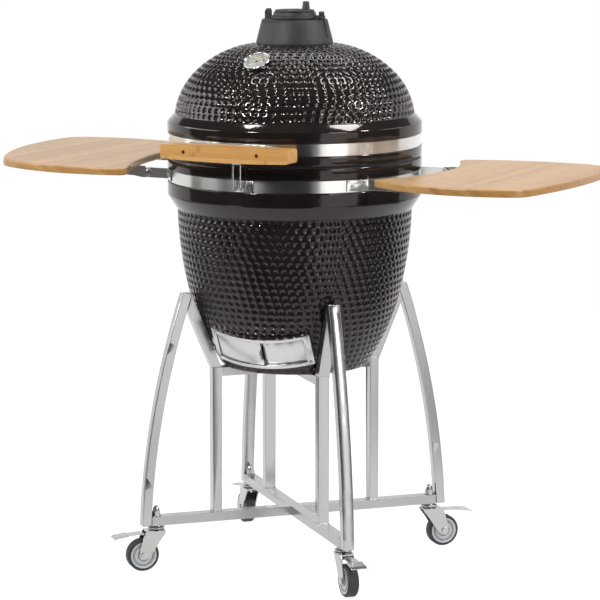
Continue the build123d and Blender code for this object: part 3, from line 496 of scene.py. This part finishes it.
def turned_shell(name, parts, body, slot, closed_on_axis):
    """A solid of revolution. parts are (run, dented) stretches of one half section.

    The section either runs back to its start, or is closed on the axis at both ends.
    """
    rings = []
    for run, dented in parts:
        run = np.array(run, float)
        if dented:
            way = np.gradient(run, axis=0)
            way /= np.hypot(*way.T)[:, None]
            outward = np.c_[way[:, 1], -way[:, 0]]
            outward *= np.sign(outward[:, :1].sum())
            height = -dent_depth(run, DENT_FIRST)
            fade = np.minimum(np.minimum(np.arange(len(run)), np.arange(len(run))[::-1]) / 3.0, 1)
            height *= fade[:, None]
            radii = run[:, :1] + outward[:, :1] * height
            levels = run[:, 1:] + outward[:, 1:] * height
        else:
            radii = np.repeat(run[:, :1], COLUMNS, 1)
            levels = np.repeat(run[:, 1:], COLUMNS, 1)
        rings.append((radii, levels))
    radii = np.vstack([r for r, _ in rings])
    levels = np.vstack([z for _, z in rings])
    angles = np.arange(COLUMNS) * TURN / COLUMNS
    points = np.stack([radii * np.cos(angles), radii * np.sin(angles), levels], -1).reshape(-1, 3)
    count = len(radii)
    row = np.arange(count if not closed_on_axis else count - 1)
    after = (row + 1) % count
    column = np.arange(COLUMNS)
    beside = (column + 1) % COLUMNS
    here, there = row[:, None] * COLUMNS, after[:, None] * COLUMNS
    faces = np.stack([here + column, here + beside, there + beside, there + column], -1).reshape(-1, 4)
    points, faces = list(map(tuple, points)), list(map(tuple, faces))
    if closed_on_axis:
        for ring, flip in ((0, True), (count - 1, False)):
            centre = len(points)
            points.append((0.0, 0.0, float(levels[ring, 0])))
            for k in range(COLUMNS):
                pair = (ring * COLUMNS + k, ring * COLUMNS + (k + 1) % COLUMNS)
                faces.append((centre, pair[1], pair[0]) if flip else (centre, pair[0], pair[1]))
    made = piece(name, points, faces, GLAZE, body, slot)
    work = bmesh.new()
    work.from_mesh(made.data)
    bmesh.ops.recalc_face_normals(work, faces=work.faces)
    work.to_mesh(made.data)
    work.free()
    return made


def cut(shape, points, faces):
    """Takes a closed cutter away from a piece, for good."""
    mesh = bpy.data.meshes.new("cutter")
    mesh.from_pydata(points, [], faces)
    work = bmesh.new()
    work.from_mesh(mesh)
    bmesh.ops.recalc_face_normals(work, faces=work.faces)
    work.to_mesh(mesh)
    work.free()
    cutter = bpy.data.objects.new("cutter", mesh)
    scene.collection.objects.link(cutter)
    step = shape.modifiers.new("cut", "BOOLEAN")
    step.operation = "DIFFERENCE"
    step.solver = "MANIFOLD"
    step.object = cutter
    result = bpy.data.meshes.new_from_object(shape.evaluated_get(bpy.context.evaluated_depsgraph_get()))
    shape.modifiers.clear()
    old = shape.data
    shape.data = result
    bpy.data.meshes.remove(old)
    bpy.data.objects.remove(cutter)


def prism(centre, normal, radius, low, high, sides):
    """Points and faces of a round prism along a direction."""
    base = Matrix.Translation(centre) @ normal.to_track_quat("Z", "Y").to_matrix().to_4x4()
    points = []
    for level in (low, high):
        for k in range(sides):
            angle = TURN * k / sides
            points.append(base @ Vector((radius * math.cos(angle), radius * math.sin(angle), level)))
    faces = [tuple(range(sides)), tuple(range(sides, 2 * sides))]
    for k in range(sides):
        after = (k + 1) % sides
        faces.append((k, after, sides + after, sides + k))
    return points, faces


def tube(path, radius, sides=10, closed=False):
    """Points and faces of a round wire along a path. radius may be one number or one for each point."""
    path = [Vector(p) for p in path]
    count = len(path)
    radii = radius if isinstance(radius, list) else [radius] * count
    points, faces = [], []
    up = Vector((0.03, 0.07, 1)).normalized()
    for k, place in enumerate(path):
        before = path[(k - 1) % count] if closed or k else place
        after = path[(k + 1) % count] if closed or k < count - 1 else place
        way = (after - before).normalized()
        side = way.cross(up).normalized()
        up = side.cross(way).normalized()
        for j in range(sides):
            angle = TURN * j / sides
            points.append(place + (side * math.cos(angle) + up * math.sin(angle)) * radii[k])
    for k in range(count if closed else count - 1):
        for j in range(sides):
            a, b = k * sides + j, k * sides + (j + 1) % sides
            c, d = ((k + 1) % count) * sides + (j + 1) % sides, ((k + 1) % count) * sides + j
            faces.append((a, b, c, d))
    if not closed:
        faces.append(tuple(range(sides))[::-1])
        faces.append(tuple((count - 1) * sides + j for j in range(sides)))
    return points, faces


def joined(parts):
    """Several (points, faces) as one."""
    points, faces = [], []
    for some, more in parts:
        shift = len(points)
        points += list(some)
        faces += [tuple(k + shift for k in face) for face in more]
    return points, faces


# ======================================================================================
# Ceramic shells
# ======================================================================================
def soft_corner(run, width=0.0022):
    """Rounds the corners of an open run of straight lines."""
    made = [run[0]]
    for before, corner, after in zip(run, run[1:], run[2:]):
        corner_v = Vector(corner)
        back, on = Vector(before) - corner_v, Vector(after) - corner_v
        reach = min(width, back.length * 0.45, on.length * 0.45)
        start, end = corner_v + back.normalized() * reach, corner_v + on.normalized() * reach
        for t in (0.0, 0.33, 0.67, 1.0):
            made.append(tuple(start * (1 - t) ** 2 + corner_v * 2 * t * (1 - t) + end * t ** 2))
    made.append(run[-1])
    return made


def groove(z_low):
    """The two ends of the seat that a band lies in."""
    return z_low - 0.0005, z_low + BAND_HIGH + 0.0005


def make_bowl():
    low, high = groove(LOWER_BAND_Z)
    inside = arc((0.136, BOWL_FLOOR_Z), (0.203, 0.590), (0.229, 0.786), 24)
    rim = soft_corner([inside[-1], (RIM_INNER_R, 0.822), (RIM_INNER_R, BOWL_TOP_Z), (RIM_R, BOWL_TOP_Z),
                       (RIM_R, high), (BAND_SEAT_R, high), (BAND_SEAT_R, low), (RIM_R, low), (RIM_R, 0.813),
                       (BOWL_LIP_R + 0.003, BOWL_LIP_Z + 0.001), (BOWL_LIP_R, BOWL_LIP_Z)])
    upper = arc((BOWL_LIP_R, BOWL_LIP_Z), (0.2463, 0.685), (0.226, 0.585), 90)
    side = even(upper + arc_on(upper, (BOWL_BOTTOM_R, BOWL_BOTTOM_Z), 60)[1:], BOWL_STEP)
    foot = [(BOWL_BOTTOM_R - 0.006, BOWL_BOTTOM_Z)]
    made = turned_shell("bowl_glaze", [(inside[:-1], False), (rim[:-1], False), (side, True), (foot, False)],
                        "cart", "glazed_ceramic", True)
    wedge = []
    for level in (PORT_LOW, PORT_HIGH):
        for radius in (0.110, 0.260):
            for k in range(9):
                angle = math.radians(PORT_FIRST + PORT_SWEEP * k / 8 - 90)
                wedge.append((radius * math.cos(angle), radius * math.sin(angle), level))
    faces = []
    for k in range(8):
        faces.append((k, k + 1, 10 + k, 9 + k))
        faces.append((18 + k, 19 + k, 28 + k, 27 + k))
        faces.append((k, k + 1, 19 + k, 18 + k))
        faces.append((9 + k, 10 + k, 28 + k, 27 + k))
    faces += [(0, 9, 27, 18), (8, 17, 35, 26)]
    cut(made, wedge, faces)
    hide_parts("bowl")


def make_lid():
    low, high = groove(UPPER_BAND_Z)
    side = arc((DOME_LOW_R, DOME_LOW_Z), (0.246, 1.031), (0.214, 1.076), 60)
    dome = even(side + arc_on(side, (DOME_TOP_R, DOME_TOP_Z), 60)[1:], DOME_STEP)
    rim = soft_corner([(0.237, 0.980), (RIM_INNER_R, 0.960), (RIM_INNER_R, LID_BOTTOM_Z),
                       (RIM_R, LID_BOTTOM_Z), (RIM_R, low), (BAND_SEAT_R, low), (BAND_SEAT_R, high),
                       (RIM_R, high), (RIM_R, 0.970), (DOME_LOW_R + 0.003, DOME_LOW_Z - 0.001),
                       (DOME_LOW_R, DOME_LOW_Z)])
    crown = [(THROAT_R, DOME_TOP_Z), (THROAT_R, 1.113)]
    inner = arc((0.074, 1.112), (0.146, 1.092), (0.196, 1.060), 12)
    inner += arc((0.196, 1.060), (0.224, 1.022), (0.237, 0.980), 10)[1:-1]
    made = turned_shell("lid_glaze", [(rim[:-1], False), (dome, True), (crown, False), (inner, False)],
                        "lid", "glazed_ceramic", False)
    cut(made, *prism(THERMO_CENTRE, THERMO_NORMAL, THERMO_R + 0.0012, 0.0, 0.03, 64))
    cut(made, *prism(THERMO_CENTRE, THERMO_NORMAL, 0.005, -0.06, 0.01, 24))
    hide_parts("lid_dome")


# ======================================================================================
# Small fittings
# ======================================================================================
def make_springs():
    """Two torsion springs wound round the hinge pin."""
    low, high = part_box("hinge_springs")
    centre_y, centre_z = (low.y + high.y) / 2, (low.z + high.z) / 2
    wire = 0.0012
    coil_r = (high.z - low.z) / 2 - wire
    parts = []
    for start, end in ((low.x, low.x + 0.030), (high.x - 0.030, high.x)):
        turns = 10
        path = []
        for k in range(turns * 16 + 1):
            angle = TURN * k / 16
            along = start + wire + (end - start - 2 * wire) * k / (turns * 16)
            path.append((along, centre_y + coil_r * math.cos(angle), centre_z + coil_r * math.sin(angle)))
        parts.append(tube(path, wire, 8))
    made = piece("spring_coils", *joined(parts), SPRING_STEEL, "cart", "spring_steel")
    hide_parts("hinge_springs")


def dial_frame(lift):
    """Places a flat drawing of the dial on the thermometer, with its up direction up the dome."""
    side = Vector((1, 0, 0))
    up = THERMO_NORMAL.cross(side).normalized()
    turn = Matrix((side, up, THERMO_NORMAL)).transposed().to_4x4()
    return Matrix.Translation(THERMO_CENTRE + THERMO_NORMAL * lift) @ turn


def flat_arc(inner, outer, start, end, steps, thick=0.0002):
    """A thin curved bar in the dial's plane, between two angles in degrees."""
    points, faces = [], []
    for k in range(steps + 1):
        angle = math.radians(start + (end - start) * k / steps)
        for radius, level in ((inner, 0), (outer, 0), (outer, thick), (inner, thick)):
            points.append(Vector((radius * math.sin(angle), radius * math.cos(angle), level)))
    for k in range(steps):
        for j in range(4):
            faces.append((4 * k + j, 4 * k + (j + 1) % 4, 4 * k + 4 + (j + 1) % 4, 4 * k + 4 + j))
    faces += [(0, 3, 2, 1), tuple(4 * steps + j for j in range(4))]
    return points, faces


def make_dial():
    """Tick marks, two coloured zones and a needle under the glass."""
    place = dial_frame(DIAL_LIFT)
    marks = []
    for k in range(25):
        angle = -135 + 270 * k / 24
        length = 0.0040 if k % 4 == 0 else 0.0022
        half = 0.9 if k % 4 == 0 else 0.55
        marks.append(flat_arc(TICK_R - length, TICK_R, angle - half, angle + half, 1))
    for name, parts, look in (
        ("dial_ticks", marks, DIAL_BLACK),
        ("dial_zone_low", [flat_arc(ZONE_IN, ZONE_OUT, -70, 20, 18)], DIAL_YELLOW),
        ("dial_zone_high", [flat_arc(ZONE_IN, ZONE_OUT, 24, 100, 16)], DIAL_RED),
    ):
        points, faces = joined(parts)
        piece(name, [place @ p for p in points], faces, look, "lid", "dial", smooth=False)
    above = dial_frame(NEEDLE_LIFT)
    needle = flat_arc(0.0, 0.0185, -121, -119, 1, 0.0005)
    points = [above @ p for p in needle[0]]
    hub = prism(above @ Vector((0, 0, 0)), THERMO_NORMAL, 0.0024, 0, 0.0009, 20)
    points, faces = joined([(points, needle[1]), hub])
    piece("dial_needle", points, faces, DIAL_BLACK, "lid", "dial", smooth=False)
    ring = []
    for k in range(64):
        angle = TURN * k / 64
        on_ring = Vector((BEZEL_R * math.cos(angle), BEZEL_R * math.sin(angle), 0))
        ring.append(dial_frame(BEZEL_LIFT) @ on_ring)
    piece("bezel_ring", *tube(ring, 0.0013, 10, True), CHROME, "lid", "chrome")


def make_welds():
    """Weld beads where the cart's tubes meet."""
    half = TUBE_WIDE / 2
    parts = []
    cross_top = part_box("lower_cross")[1].z
    for angle in (-45, 45, 135, 225):
        turn = Matrix.Rotation(math.radians(angle), 4, "Z")
        for level in (cross_top, BOWL_BOTTOM_Z):
            corners = [(POST_INNER, -half), (POST_OUTER, -half), (POST_OUTER, half), (POST_INNER, half)]
            path = []
            for (ax, ay), (bx, by) in zip(corners, corners[1:] + corners[:1]):
                for k in range(8):
                    t = k / 8
                    path.append(turn @ Vector((ax + (bx - ax) * t, ay + (by - ay) * t, level)))
            radii = [WELD_R * (1 + 0.25 * math.sin(k * 2.4)) for k in range(len(path))]
            parts.append(tube(path, radii, 6, True))
    piece("weld_beads", *joined(parts), CART_STEEL, "cart", "stainless_cart")


def make_wheel_ring_shade():
    """Dark rings on both faces of each wheel: painted shade in the moulded ring lines."""
    for joint in frame["record"]["behaviour"]["joints"]:
        if not joint["name"].startswith("roll_"):
            continue
        axle = Vector(joint["axis"]).normalized()
        level = Vector((0, 0, 1)).cross(axle)
        rings = []
        for radius in WHEEL_LINES:
            for side in (-WHEEL_FACE, WHEEL_FACE):
                centre = Vector(joint["pos_m"]) + axle * side
                rings.append(tube([centre + level * (radius * math.cos(TURN * k / 48))
                                   + Vector((0, 0, radius * math.sin(TURN * k / 48))) for k in range(48)],
                                  0.0006, 6, True))
        where = joint["name"].removeprefix("roll_")
        piece("wheel_ring_shade_" + where, *joined(rings), WHEEL_RING_SHADE, joint["child"], "wheel_plastic")


# ======================================================================================
# Room: floor, light and camera
# ======================================================================================
def around(degrees, distance, height):
    """A place round the grill: degrees to the right of the camera's own direction, seen from above."""
    angle = CAMERA_TURN + math.radians(degrees)
    return Vector((distance * math.sin(angle), -distance * math.cos(angle), height))


def softbox(name, angle, rise, away, wide, high, glow):
    """A rectangular lamp that faces the pot from a direction, in degrees. The camera doesn't see it."""
    lamp = bpy.data.lights.new(name, "AREA")
    lamp.shape = "RECTANGLE"
    lamp.size = wide
    lamp.size_y = high
    lamp.energy = glow * math.pi * wide * high
    made = bpy.data.objects.new(name, lamp)
    lift = math.radians(rise)
    made.location = around(angle, away * math.cos(lift), POT_MIDDLE + away * math.sin(lift))
    made.rotation_mode = "QUATERNION"
    made.rotation_quaternion = (Vector((0, 0, POT_MIDDLE)) - made.location).to_track_quat("-Z", "Y")
    made.visible_camera = False
    scene.collection.objects.link(made)


def studio_sheet(name, points, low, high, glow=0.0, seen=True):
    """A matte sheet of the studio, such as its floor or a dark curtain."""
    mesh = bpy.data.meshes.new(name)
    mesh.from_pydata([tuple(p) for p in points], [], [tuple(range(len(points)))])
    sheet = bpy.data.objects.new(name, mesh)
    scene.collection.objects.link(sheet)
    made, tree, shader = material(name)
    cloud = grain(tree, position(tree), 3.0, 2.0)
    tree.links.new(ramp(tree, cloud, (0.3, (low,) * 3), (0.7, (high,) * 3)), shader.inputs["Base Color"])
    shader.inputs["Roughness"].default_value = 0.9
    shader.inputs["Specular IOR Level"].default_value = 0.1
    shader.inputs["Emission Color"].default_value = (1, 1, 1, 1)
    shader.inputs["Emission Strength"].default_value = glow
    mesh.materials.append(made)
    sheet.visible_camera = seen
    sheet.visible_shadow = seen


def upright(first, last, away, high, low=0.0):
    """Corners of an upright card between two angles round the grill."""
    return [around(first, away, low), around(last, away, low),
            around(last, away, high), around(first, away, high)]


def make_room():
    """The floor and what the glaze mirrors: a dark curtain, dark rugs, white sweeps and lamps."""
    studio_sheet("floor", [around(step * 5.0, FLOOR_R, 0.0) for step in range(72)], 0.20, 0.22, FLOOR_GLOW)
    studio_sheet("dark_curtain", upright(CURTAIN_FIRST, CURTAIN_LAST, CURTAIN_AWAY, 3.6, 0.01),
                 0.02, 0.025, seen=False)
    for name, first, last, near, tone in (("front", CURTAIN_FIRST, CURTAIN_LAST, 0.95, 0.05),
                                          ("right", 45, 120, 1.3, 0.16), ("left", -125, -60, 1.5, 0.34)):
        studio_sheet("rug_" + name, [around(first, near, 0.002), around(last, near, 0.002),
                                     around(last, CURTAIN_AWAY, 0.002), around(first, CURTAIN_AWAY, 0.002)],
                     tone, tone * 1.1, seen=False)
    for number, angle in enumerate((120, 150, 180, 210, 240)):
        studio_sheet("white_sweep_%d" % number, upright(angle - 15, angle + 15, FLOOR_R, 2.3),
                     0.5, 0.55, 0.45, False)
    studio_sheet("low_card", upright(22, 56, 3.3, 1.05), 0.5, 0.55, 0.9, False)

    world = bpy.data.worlds.new("studio")
    scene.world = world
    world.use_nodes = True
    tree = world.node_tree
    backdrop = tree.nodes["Background"]
    backdrop.inputs["Color"].default_value = (1, 1, 1, 1)
    backdrop.inputs["Strength"].default_value = 1.0
    dim = node(tree, "ShaderNodeBackground", {"Color": (1.0, 0.97, 0.94, 1), "Strength": 0.10})
    ray = node(tree, "ShaderNodeLightPath")
    mixed = node(tree, "ShaderNodeMixShader", {0: ray.outputs["Is Camera Ray"], 1: dim.outputs[0],
                                               2: backdrop.outputs[0]})
    tree.links.new(mixed.outputs[0], tree.nodes["World Output"].inputs["Surface"])

    softbox("key_left", -39, 29, 3.3, 0.34, 0.34, 190)
    softbox("key_right", 68, 29, 3.3, 0.32, 0.32, 150)
    softbox("top_left", -78, 68, 2.5, 0.3, 0.35, 38)
    softbox("top_right", 85, 64, 2.5, 0.65, 0.6, 20)
    softbox("back_top", 178, 55, 3.0, 2.2, 1.0, 2.5)
    softbox("left_wide", -92, 15, 3.1, 2.4, 1.3, 4.0)
    softbox("right_wide", 38, 15, 3.1, 0.8, 1.4, 5.4)
    softbox("right_side", 96, 18, 3.2, 1.6, 1.0, 2.0)


def make_camera():
    lens = bpy.data.cameras.new("camera")
    lens.lens = CAMERA_LENS
    lens.sensor_width = 36.0
    lens.clip_end = 100
    made = bpy.data.objects.new("camera", lens)
    turn = CAMERA_TURN
    made.location = (CAMERA_AWAY * math.sin(turn) + CAMERA_ASIDE * math.cos(turn),
                     -CAMERA_AWAY * math.cos(turn) + CAMERA_ASIDE * math.sin(turn), CAMERA_HIGH)
    made.rotation_euler = (math.pi / 2 - CAMERA_TILT, 0, turn)
    scene.collection.objects.link(made)
    scene.camera = made


make_camera()
make_room()
dress_cad()
make_bowl()
make_lid()
make_springs()
make_dial()
make_welds()
make_wheel_ring_shade()
